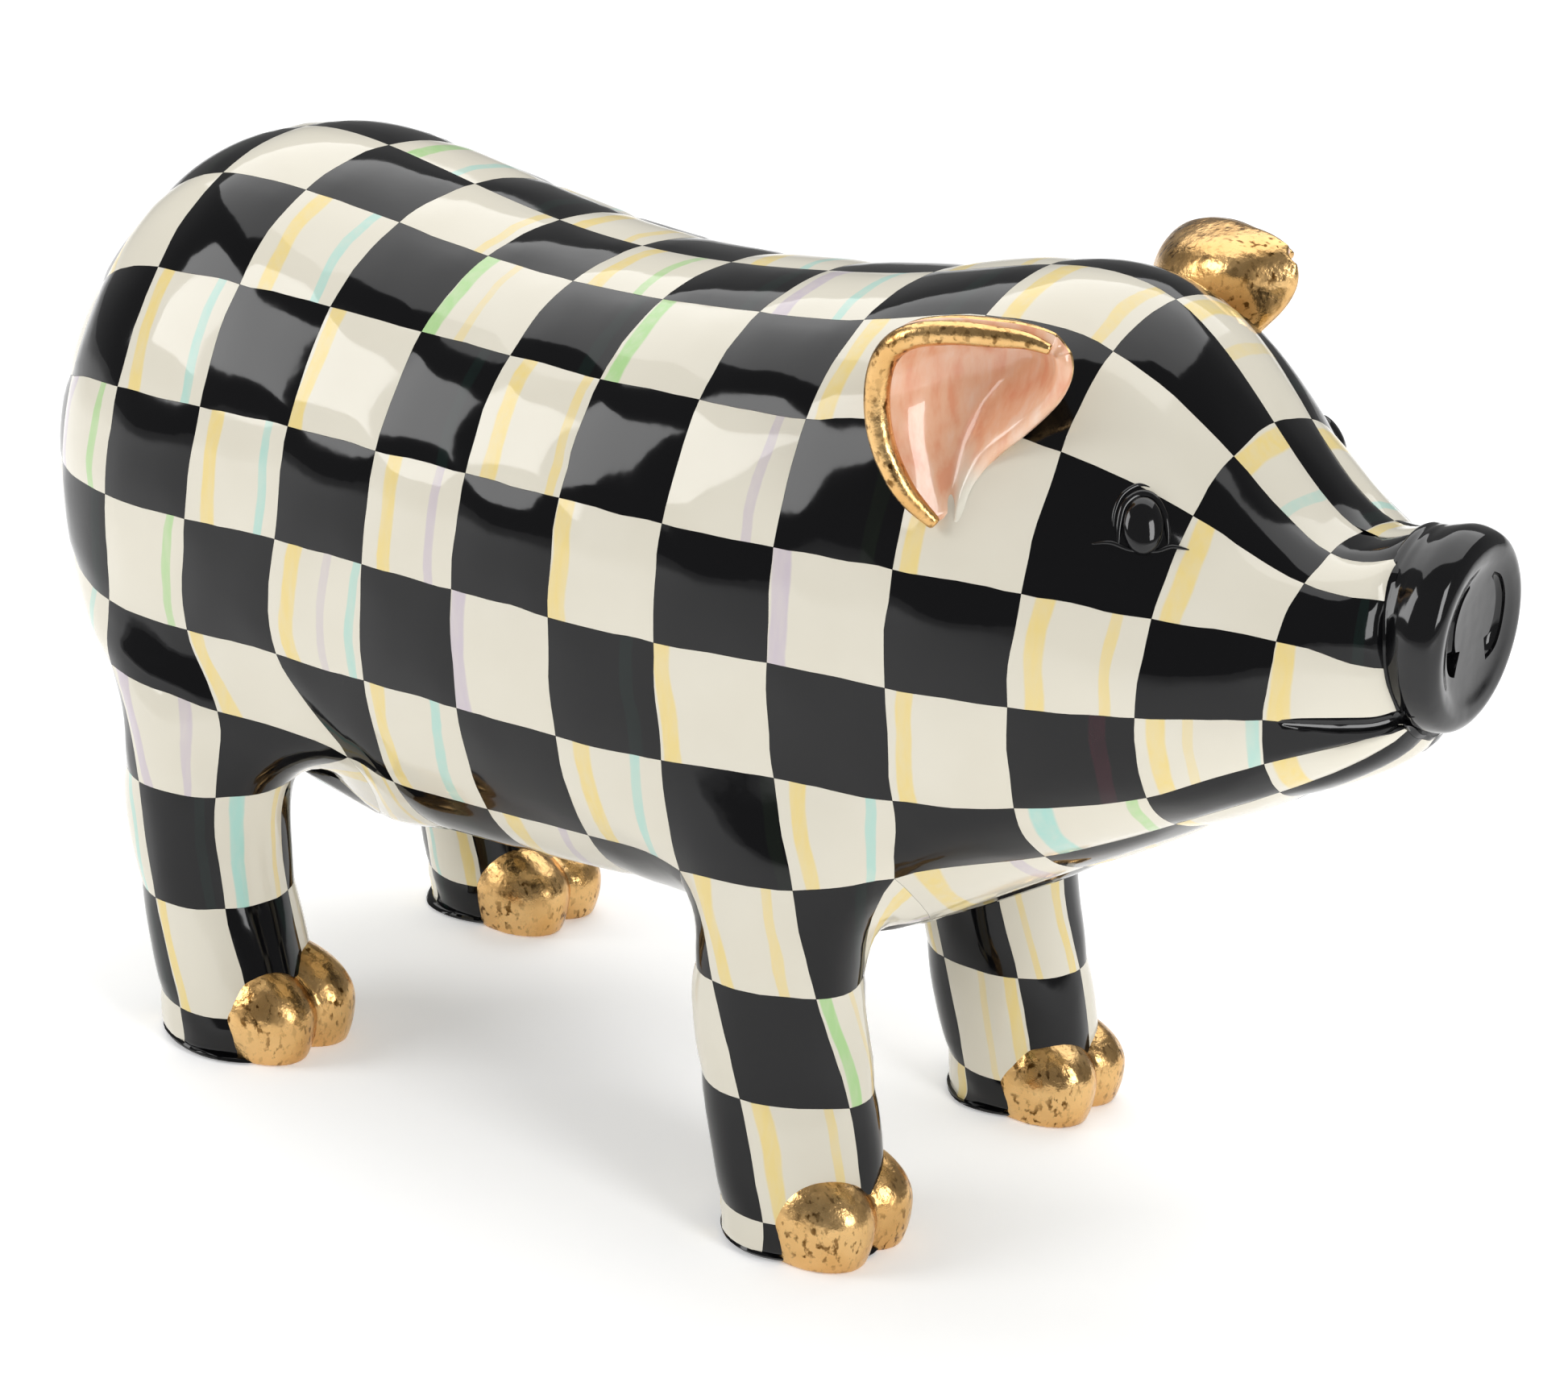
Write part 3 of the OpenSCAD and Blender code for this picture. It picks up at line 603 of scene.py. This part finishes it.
SQUARES, LINE, BLACK, GOLD = painted_squares(), scored_line(), black_enamel(), gold_leaf()
PINK, STEEL, BRASS, INSIDE, PAPER = ear_pink(), bright_steel(), turned_brass(), cast_inside(), floor_paper()


def dress(obj, *materials):
    obj.data.materials.clear()
    for m in materials:
        obj.data.materials.append(m)
    return obj


# ---------------------------------------------------------------- body
body = cage()
for e in body.data.edges:
    heights = [body.data.vertices[i].co.z for i in e.vertices]
    e.use_seam = max(heights) > 4 * MM
fans = {e.key for p in body.data.polygons if len(p.vertices) == 3 for e in
        (body.data.edges[body.data.loops[i].edge_index] for i in p.loop_indices)}
whole = {e.key for p in body.data.polygons if len(p.vertices) == 4 for e in
         (body.data.edges[body.data.loops[i].edge_index] for i in p.loop_indices)}
for e in body.data.edges:
    if e.key in fans and e.key not in whole:
        e.use_seam = False
modify(body, "SUBSURF", levels=3, render_levels=3, uv_smooth="NONE")

# Each square stands a little proud of its lines.
PILLOW = 0.6
WANDER = 0.45             # how far a hand-drawn line strays
away = np.full(len(body.data.vertices), 1.0)
mouth_row = {}
uvs = body.data.uv_layers[0].data
for l in body.data.loops:
    u, v = uvs[l.index].uv
    away[l.vertex_index] = min(away[l.vertex_index], abs(u - round(u)), abs(v - round(v)))
    if abs(v - 4) < 0.001 and 3 - FIRST_LINE - 0.001 < u < 4 - FIRST_LINE + 0.001 and abs(u) > 1:
        mouth_row[round(u, 3)] = body.data.vertices[l.vertex_index].co / MM
for v, d in zip(body.data.vertices, away):
    puff = min(d / 0.42, 1.0)
    stray = field.noise_vector(v.co / (9 * MM)) + field.noise_vector(v.co / (4 * MM)) * 0.35
    stray -= v.normal * stray.dot(v.normal)
    if abs(v.co.y) < 0.01 * MM:
        stray.y = 0
    v.co += stray * WANDER * MM - v.normal * (PILLOW * (1 - puff * (2 - puff)) + 0.05) * MM
    v.co.z = max(v.co.z, 0.0)

# The scored lines: each is a narrow strip let into the skin.
edit_select(body, lambda e: e.seam, "EDGE")
bpy.ops.mesh.bevel(offset=0.00044, offset_type="OFFSET", segments=1, affect="EDGES", loop_slide=True,
                   clamp_overlap=True)
bpy.ops.mesh.select_mode(type="FACE")
leave()
dress(body, SQUARES, LINE, INSIDE, BLACK)
print("line faces", sum(p.select for p in body.data.polygons))
bpy.ops.object.mode_set(mode="EDIT")
bpy.context.object.active_material_index = 1
bpy.ops.object.material_slot_assign()
bpy.ops.mesh.inset(thickness=0.00014, depth=-0.00040)
leave()
smooth(body, 50)

# The mouth: a deep groove along the line under the cheek.
path = [mouth_row[k] for k in sorted(mouth_row)]
print("mouth", [tuple(round(c, 1) for c in p) for p in path])
path = path[::2] + [path[-1] + Vector((1.5, 4, -1.2)), Vector((151.0, -5, 115.9)), Vector((151.2, 0, 115.4))]
path = path + [Vector((p.x, -p.y, p.z)) for p in path[-2::-1]]
widths = [0.3, 1.1] + [1.5] * (len(path) - 4) + [1.1, 0.3]
carve(body, rope("mouth", path, widths, 14, 70), slot=3)

# The coin chamber between its walls, clear of the trap's land and the bosses.
CHAMBER = (55, 58, 66, 76, 88, 100, 115, 130, 145, 160, 175, 190, 205, 220, 235, 250, 262, 272, 280, 286, 290)
WALL = 3.5
TRAP_X, SWING_X = -25.25, -3.75
LAND_Z, LAND_TOP = 51.36, 59.36
GRUB_SCREWS = ((46.75, 39), (-88.25, 42))


def inner_ring(back):
    sink = WALL if CHAMBER[0] < back < CHAMBER[-1] else 12
    right = [on_body(back, a, sink) for a in range(0, 181, 12)]
    return right + [Vector((p.x, -p.y, p.z)) for p in right[-2:0:-1]]


def dark(tool):
    """Gives a cutting tool the casting's inside finish."""
    return dress(tool, INSIDE)


chamber = lofted("chamber", [inner_ring(back) for back in CHAMBER])
carve(chamber, oval(TRAP_X, SWING_X, 0, 26, 20, LAND_TOP))
for x, z in ((70.75, 108.25), (-107.25, 102)):
    carve(chamber, rod(8.5, (x, -60, z), (x, 60, z)))

halves = []
for side, name in ((RIGHT, "right_shell"), (LEFT, "left_shell")):
    deselect()
    bpy.ops.mesh.primitive_cube_add(size=0.4, location=(0, side * 0.2, 0.1))
    box = fix(bpy.context.object, "side_box")
    edit_select(box, lambda v: True)
    bpy.ops.mesh.subdivide(number_cuts=30)
    leave()
    half = body.copy()
    half.data = body.data.copy()
    bpy.context.scene.collection.objects.link(half)
    half.name = half.data.name = name
    carve(half, box, "INTERSECT", slot=2)
    inner = chamber.copy()
    inner.data = chamber.data.copy()
    bpy.context.scene.collection.objects.link(inner)
    carve(half, inner, slot=2)
    carve(half, oval(TRAP_X, SWING_X, 0, 29.5, 20, LAND_Z), slot=2)
    carve(half, rod(20.6, (TRAP_X, 0, 45), (TRAP_X, 0, 75)), slot=2)
    carve(half, rod(22.1, (TRAP_X, 0, LAND_TOP), (TRAP_X, 0, 75)), slot=2)
    for x, y in GRUB_SCREWS:
        carve(half, rod(2.2, (x, side * y, -1), (x, side * y, 14.2), 32), slot=2)
    if side == LEFT:
        slot = oval(-43.25 + 2.5, -3.25 - 2.5, 36, 2.5, 113, 190)
        carve(half, slot, slot=2)
        carve(half, rod(4.95, (70.75, 42.9, 108.25), (70.75, 70, 108.25)), slot=2)
        carve(half, rod(4.95, (-107.25, 47.8, 102), (-107.25, 70, 102)), slot=2)
    halves.append(half)
for obj in (chamber,):
    bpy.data.objects.remove(obj)
for half, node in zip(halves, ("right_half", "left_half")):
    smooth(half, 42)
    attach(half, "bank")
    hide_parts(node)
    print(half.name, len(half.data.polygons), len(half.data.materials))


# ---------------------------------------------------------------- snout
snout = turned("snout", [(0, 153.3), (6, 153.35), (10.5, 153.7), (13.4, 154.5), (15.4, 154.62), (17.2, 153.4),
                         (18.0, 151.2), (18.1, 149.2), (17.6, 147.2), (17.0, 145.4), (16.6, 143.6), (15.0, 141),
                         (0, 140)], (0, 0, SNOUT_Z), Vector((1, 0, 0)))
nostril = [(-4.4, 143.6), (-7.0, 141.6), (-8.8, 138), (-8.9, 134), (-7.6, 130.8), (-5.2, 129.8)]
for side in (RIGHT, LEFT):
    carve(snout, rope("nostril", [(153.6, -y * side, z) for y, z in nostril], [0.5, 1.1, 1.5, 1.8, 2.1, 2.3], 16, 40))
dress(snout, BLACK)
smooth(snout, 50)
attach(snout, "bank")
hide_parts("snout")


# ---------------------------------------------------------------- eyes
def on_skin(point, lift=0.0):
    """The place on the skin nearest a point, in millimetres."""
    _, at, normal, _ = body.closest_point_on_mesh(Vector(point) * MM)
    return at / MM + normal * lift


EYE = on_skin((106.9, -33.4, 151.2))
EYE_UP = (Vector((105.2, -31.3, 155.3)) - Vector((108.2, -35.4, 146.8))).normalized()
EYE_ACROSS = (Vector((110.2, -31.0, 150.7)) - Vector((103.8, -36.0, 150.5))).normalized()


def beside_eye(across, up, lift=0.0):
    return on_skin(EYE + EYE_ACROSS * across + EYE_UP * up, lift)


deselect()
bpy.ops.mesh.primitive_uv_sphere_add(segments=32, ring_count=20, radius=MM)
eye_out = EYE_ACROSS.cross(EYE_UP).normalized()
ball = bpy.context.object
ball.matrix_world = (Matrix.Translation((EYE - EYE_UP * 0.6) * MM)
                     @ Matrix((EYE_ACROSS, EYE_UP, eye_out)).transposed().to_4x4()
                     @ Matrix.Diagonal((3.5, 5.0, 2.1, 1)))
fix(ball, "ball")
lid = [(-4.1, -3.9), (-4.0, -0.5), (-3.1, 3.0), (-0.6, 4.9), (1.9, 4.3), (3.6, 1.3), (4.2, -1.6), (4.3, -3.8)]
crease = [(-5.0, -1.6), (-4.9, 1.4), (-3.6, 4.6), (-0.8, 6.4), (2.0, 5.7)]
line = [(-8.6, -3.7), (-5.4, -3.5), (-2.0, -4.7), (2.2, -4.9), (5.0, -4.1), (7.8, -4.6)]
right_eye = joined("right_eye", smooth(ball),
                   rope("lid", [beside_eye(a, b, -0.1) for a, b in lid], [0.25, 0.6, 0.75, 0.8, 0.75, 0.65, 0.5, 0.25], 12, 50),
                   rope("crease", [beside_eye(a, b, -0.2) for a, b in crease], [0.15, 0.4, 0.45, 0.4, 0.15], 10, 30),
                   rope("line", [beside_eye(a, b, -0.1) for a, b in line], [0.15, 0.42, 0.4, 0.4, 0.42, 0.15], 10, 36))
dress(right_eye, BLACK)
left_eye = mirrored(right_eye, "left_eye")
for eye in (right_eye, left_eye):
    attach(eye, "bank")


# ---------------------------------------------------------------- ears
EAR_RIM = [(74.2, -46.0, 146.0), (69.0, -48.6, 151.5), (64.5, -49.2, 159.0), (62.6, -48.9, 167.0),
           (64.0, -49.2, 174.0), (68.3, -49.0, 178.3), (75.2, -47.2, 180.1), (81.5, -44.8, 180.3),
           (87.0, -42.8, 180.3), (91.3, -41.5, 179.3)]
EAR_VALLEY = [(76.0, -43.5, 147.5), (73.0, -43.0, 152.0), (70.5, -41.0, 158.0), (70.0, -38.5, 165.0),
              (71.5, -36.5, 170.0), (74.5, -35.5, 173.0), (78.5, -35.0, 175.0), (83.0, -34.8, 176.5),
              (86.5, -36.8, 177.2), (91.2, -40.9, 178.6)]
EAR_FRONT = [(76.5, -44.6, 146.0), (77.3, -44.2, 150.0), (78.2, -42.8, 153.5), (79.2, -42.0, 156.4),
             (81.2, -41.6, 159.3), (84.6, -41.0, 162.8), (88.3, -40.6, 167.0), (91.4, -40.8, 171.3),
             (92.9, -41.2, 175.2), (92.2, -41.3, 178.3)]
ACROSS = 12
rails = [through(points, 34) for points in (EAR_RIM, EAR_VALLEY, EAR_FRONT)]
cup = lofted("cup", [[rim * ((1 - s) ** 2) + (valley * 2 - (rim + front) / 2) * (2 * s * (1 - s)) + front * (s * s)
                      for s in (j / ACROSS for j in range(ACROSS + 1))] for rim, valley, front in zip(*rails)], closed=False)
middle = cup.data.polygons[len(cup.data.polygons) // 3]
if middle.normal.dot(Vector((0.8, -0.6, 0))) < 0:
    cup.data.flip_normals()
dress(cup, PINK, GOLD)
modify(cup, "SOLIDIFY", thickness=3.0 * MM, offset=-1, material_offset=1, material_offset_rim=0)
edge = rope("edge", EAR_RIM, [1.2, 2.0, 2.25, 2.3, 2.25, 2.2, 2.1, 1.9, 1.5, 0.9], 18, 60)
dress(edge, PINK, GOLD)
for p in edge.data.polygons:
    p.material_index = 1
right_ear = joined("right_ear_cup", cup, edge)
modify(right_ear, "SUBSURF", levels=1, render_levels=1)
smooth(right_ear)
left_ear = mirrored(right_ear, "left_ear_cup")
for ear, node in ((right_ear, "right_ear"), (left_ear, "left_ear")):
    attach(ear, "bank")
    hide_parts(node)


# ---------------------------------------------------------------- hooves
def toe(x, y, length, width, height):
    """A rounded toe, flat where it stands, its top drawn up against the leg."""
    deselect()
    bpy.ops.mesh.primitive_uv_sphere_add(segments=48, ring_count=32, radius=1)
    made = bpy.context.object
    made.scale = (length / 2 * MM, width / 2 * MM, height * 0.56 * MM)
    made.location = (x * MM, y * MM, height * 0.42 * MM)
    fix(made, "toe")
    for v in made.data.vertices:
        rise = max(v.co.z / MM - height * 0.5, 0) / (height * 0.48)
        under = min(max(0.42 - v.co.z / MM / height, 0) / 0.56, 0.99)
        fuller = (1 - 0.25 * under * under) / math.sqrt(1 - under * under)
        v.co.x = x * MM + (v.co.x - x * MM) * min(fuller, 1.6)
        v.co.y = y * MM + (v.co.y - y * MM) * min(fuller, 1.6)
        v.co.x -= rise * rise * 3.2 * MM
        v.co.y = y * MM + (v.co.y - y * MM) * (1 - 0.10 * rise)
    edit_select(made, lambda v: True)
    bpy.ops.mesh.bisect(plane_co=(0, 0, 0), plane_no=(0, 0, 1), clear_inner=True, use_fill=True)
    leave()
    return made


HOOVES = (("right_fore", -38.0, 69.6, 18.6), ("left_fore", 38.9, 70.2, 18.0),
          ("right_hind", -40.8, -62.9, 19.0), ("left_hind", 41.3, -62.9, 18.0))
TOE_LONG, TOE_WIDE, TOE_APART = 24.0, 17.6, 11.6
for where, y, front, height in HOOVES:
    outer, inner = (toe(front - TOE_LONG / 2 - (0.4 if k > 0 else 0), y + k * math.copysign(TOE_APART / 2, y),
                        TOE_LONG, TOE_WIDE, height if k > 0 else height + 0.8) for k in (1, -1))
    hoof = carve(outer, inner, "UNION")
    screw_x, screw_y = GRUB_SCREWS["hind" in where]
    carve(hoof, rod(2.6, (screw_x, math.copysign(screw_y, y), -1), (screw_x, math.copysign(screw_y, y), 30), 32))
    modify(hoof, "REMESH", mode="VOXEL", voxel_size=0.6 * MM)
    modify(hoof, "SMOOTH", factor=0.5, iterations=7)
    hoof.name = hoof.data.name = where + "_toes"
    dress(hoof, GOLD)
    for v in hoof.data.vertices:
        v.co.z = max(v.co.z, 0.25 * MM)
    smooth(hoof, 60)
    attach(hoof, "bank")
    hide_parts(where + "_hoof")


# ---------------------------------------------------------------- tail
tilt = Matrix.Rotation(math.radians(14), 3, "Y")
curl, thick = [], []
for i in range(32):
    a = math.radians(310 * i / 31)
    curl.append(Vector((-149.2, 0, 128)) + tilt @ Vector((1.2 * (i / 31), 9 * math.sin(a), -9 * math.cos(a))))
    thick.append(3.1 * (1 - 0.55 * i / 31) * (0.55 if i == 31 else 1))
tail = rope("curled_tail", curl, thick, 24, 96)
for l in tail.data.uv_layers[0].data:
    l.uv = (l.uv[0] * 9, l.uv[1] * 4)
dress(tail, SQUARES)
modify(tail, "SUBSURF", levels=1, render_levels=1)
smooth(tail)
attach(tail, "bank")
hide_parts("tail")

# ---------------------------------------------------------------- fittings
for material, names in ((BLACK, ("trap_ring", "trap_plate")), (BRASS, ("trap_screw", "trap_washer")),
                        (STEEL, ("front_screw", "rear_screw", "front_nut", "rear_nut", "front_dowel", "rear_dowel",
                                 "right_ear_nut", "left_ear_nut", "hoof_screws"))):
    for name in names:
        dress(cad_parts[name], material)

bpy.data.objects.remove(body)

# ---------------------------------------------------------------- stage
deselect()
bpy.ops.mesh.primitive_plane_add(size=12, location=(0, 0, 0))
floor = fix(bpy.context.object, "floor")
dress(floor, PAPER)

world = bpy.data.worlds.new("studio")
bpy.context.scene.world = world
world.use_nodes = True
world.node_tree.nodes["Background"].inputs["Color"].default_value = (1, 1, 1, 1)
world.node_tree.nodes["Background"].inputs["Strength"].default_value = 0.22
bpy.context.scene.view_settings.view_transform = "Standard"


def softbox(name, at, aim, size, power):
    lamp = bpy.data.lights.new(name, "AREA")
    lamp.shape = "RECTANGLE"
    lamp.size, lamp.size_y = size
    lamp.energy = power
    obj = bpy.data.objects.new(name, lamp)
    bpy.context.scene.collection.objects.link(obj)
    obj.location = at
    obj.rotation_euler = (Vector(at) - Vector(aim)).to_track_quat("Z", "Y").to_euler()


softbox("overhead", (-0.3, 0.5, 1.3), (0, 0, 0.05), (2.2, 1.6), 20)
softbox("front_left", (-1.0, -1.0, 0.8), (0, 0, 0.1), (0.7, 0.8), 9)
softbox("front_right", (1.25, -0.35, 0.65), (0.05, 0, 0.1), (0.4, 0.8), 7)

CAMERA_AT = Vector((421.2, -607.6, 368.4)) * MM
azimuth, elevation, roll = (math.radians(a) for a in (33.87, 21.06, 3.15))
back = Vector((math.sin(azimuth) * math.cos(elevation), -math.cos(azimuth) * math.cos(elevation), math.sin(elevation)))
right = Vector((math.cos(azimuth), math.sin(azimuth), 0))
up = back.cross(right)
right, up = right * math.cos(roll) + up * math.sin(roll), up * math.cos(roll) - right * math.sin(roll)
camera = bpy.data.objects.new("camera", bpy.data.cameras.new("camera"))
bpy.context.scene.collection.objects.link(camera)
camera.matrix_world = Matrix.Translation(CAMERA_AT) @ Matrix((right, up, back)).transposed().to_4x4()
camera.data.sensor_width = 36
camera.data.lens = 94.6
camera.data.shift_x, camera.data.shift_y = 0.003, -0.004
camera.data.clip_start = 0.01
bpy.context.scene.camera = camera
